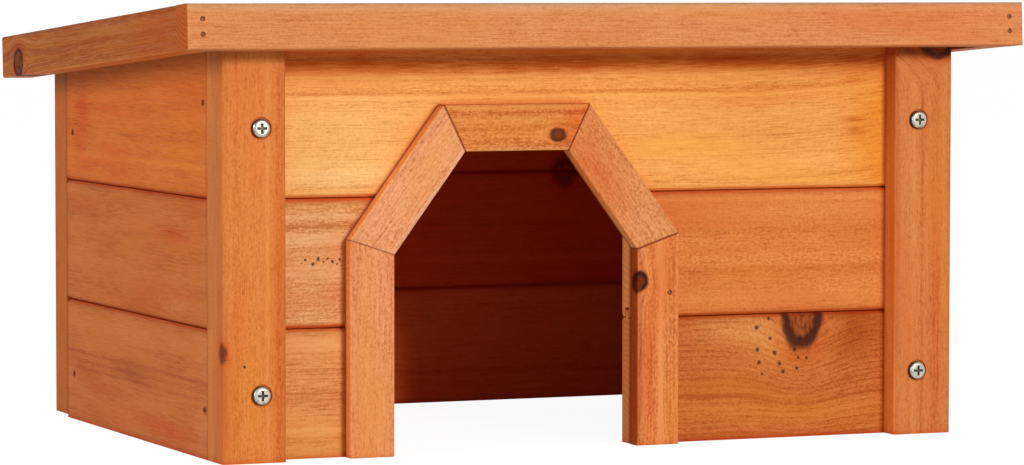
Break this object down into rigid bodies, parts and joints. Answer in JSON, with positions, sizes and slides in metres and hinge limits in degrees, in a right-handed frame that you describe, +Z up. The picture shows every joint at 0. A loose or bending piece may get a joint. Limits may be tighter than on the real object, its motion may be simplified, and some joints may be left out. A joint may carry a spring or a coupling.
{
  "type": "rodent hut",
  "caption": "Small wooden hut for rodents with boarded walls, corner posts, a slanted doorway with a mitred surround, an open base and a hinged pent roof.",
  "frame": {"origin": "on the ground under the middle of the whole hut, roof included", "axes": "+X to the right along the front, +Y from the doorway to the back, +Z up"},
  "size_m": [0.4, 0.2736, 0.1974],
  "materials": {
    "front_board_wood": "satin stain",
    "side_board_wood": "satin stain",
    "back_board_wood": "satin stain",
    "post_wood": "satin stain",
    "batten_wood": "sawn, thin stain",
    "trim_wood": "satin stain",
    "fascia_wood": "satin stain",
    "deck_wood": "satin stain",
    "screw_steel": "bright zinc plated",
    "nail_steel": "dulled",
    "hinge_steel": "zinc plated"
  },
  "bodies": {
    "hut": {"back_board_low": "back_board_wood", "back_board_middle": "back_board_wood", "back_board_nails": "nail_steel", "back_board_top": "back_board_wood", "door_head": "trim_wood", "door_jamb_left": "trim_wood", "door_jamb_right": "trim_wood", "door_slant_left": "trim_wood", "door_slant_right": "trim_wood", "door_trim_nails": "nail_steel", "front_batten_left": "batten_wood", "front_batten_right": "batten_wood", "front_board_low_left": "front_board_wood", "front_board_low_right": "front_board_wood", "front_board_middle_left": "front_board_wood", "front_board_middle_right": "front_board_wood", "front_board_nails": "nail_steel", "front_board_top": "front_board_wood", "front_post_left": "post_wood", "front_post_right": "post_wood", "front_post_screws": "screw_steel", "hinge_left_pin": "hinge_steel", "hinge_left_wall_leaf": "hinge_steel", "hinge_right_pin": "hinge_steel", "hinge_right_wall_leaf": "hinge_steel", "hinge_wall_screws": "hinge_steel", "left_board_low": "side_board_wood", "left_board_middle": "side_board_wood", "left_board_top": "side_board_wood", "left_wall_nails": "nail_steel", "rear_batten_left": "batten_wood", "rear_batten_right": "batten_wood", "rear_post_left": "post_wood", "rear_post_right": "post_wood", "rear_post_screws": "screw_steel", "right_board_low": "side_board_wood", "right_board_middle": "side_board_wood", "right_board_top": "side_board_wood", "right_wall_nails": "nail_steel"},
    "roof": {"fascia_nails": "nail_steel", "hinge_left_roof_leaf": "hinge_steel", "hinge_right_roof_leaf": "hinge_steel", "hinge_roof_screws": "hinge_steel", "roof_board_front": "deck_wood", "roof_board_middle": "deck_wood", "roof_board_nails": "nail_steel", "roof_board_rear": "deck_wood", "roof_front_fascia": "fascia_wood", "roof_left_fascia": "fascia_wood", "roof_right_fascia": "fascia_wood"}
  },
  "joints": [
    {"name": "roof_hinge", "type": "hinge", "parent": "hut", "child": "roof", "pos_m": [0, 0.13286, 0.16759], "axis": [-1, 0, 0], "range_deg": [0, 140]}
  ]
}
